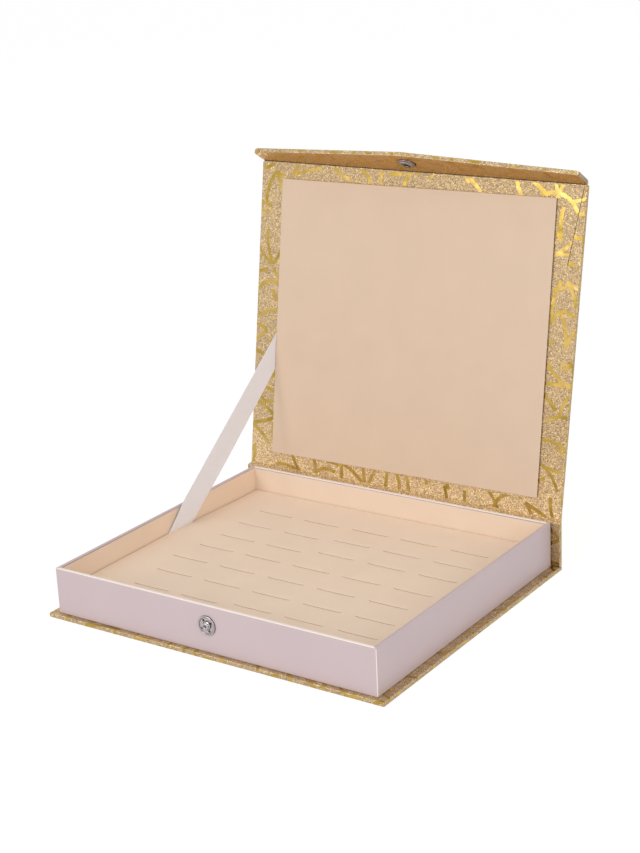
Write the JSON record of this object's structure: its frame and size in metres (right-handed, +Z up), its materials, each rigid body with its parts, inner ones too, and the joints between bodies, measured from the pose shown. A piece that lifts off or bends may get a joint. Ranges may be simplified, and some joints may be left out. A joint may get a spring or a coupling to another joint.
{
  "type": "ring display box",
  "caption": "Book-style display box for finger rings: a shallow lined tray with a slit pad, a hinged lid held by a ribbon stay, and a pointed flap that closes with a press snap.",
  "frame": {"origin": "centre of the base's underside, on the table", "axes": "+X to the right seen from the front, +Y to the back where the lid is hinged, +Z up"},
  "size_m": [0.1996, 0.2052, 0.2103],
  "materials": {
    "greyboard": "matte",
    "covering": "satin",
    "tray_paper": "satin",
    "suede": "matte",
    "foam": "matte",
    "ribbon": "satin",
    "snap": "polished"
  },
  "bodies": {
    "case": {"base_board": "greyboard", "base_cover": "covering", "spine_board": "greyboard", "spine_cover": "covering", "tray_floor": "greyboard", "tray_front_wall": "greyboard", "tray_rear_wall": "greyboard", "tray_left_wall": "greyboard", "tray_right_wall": "greyboard", "tray_wrap": "tray_paper", "lining_front": "suede", "lining_rear": "suede", "lining_left": "suede", "lining_right": "suede", "pad_foam": "foam", "pad_suede": "suede", "snap_stud": "snap", "ribbon_tray_end": "ribbon", "ribbon": "ribbon", "rear_hinge_cloth": "covering"},
    "lid": {"lid_board": "greyboard", "lid_cover": "covering", "lid_liner": "covering", "panel_card": "greyboard", "panel_suede": "suede", "ribbon_lid_end": "ribbon", "flap_hinge_cloth": "covering"},
    "flap": {"flap_board": "greyboard", "flap_cover": "covering", "flap_liner": "covering", "snap_socket": "snap", "socket_spring": "snap"}
  },
  "joints": [
    {"name": "lid_hinge", "type": "hinge", "parent": "case", "child": "lid", "pos_m": [0, 0.0861, 0.0266], "axis": [1, 0, 0], "range_deg": [0, 99.8], "deforming": ["ribbon", "rear_hinge_cloth"]},
    {"name": "flap_hinge", "type": "hinge", "parent": "lid", "child": "flap", "pos_m": [0, 0.11721, 0.1976], "axis": [1, 0, 0], "range_deg": [-66, 24], "deforming": ["flap_hinge_cloth"]}
  ]
}
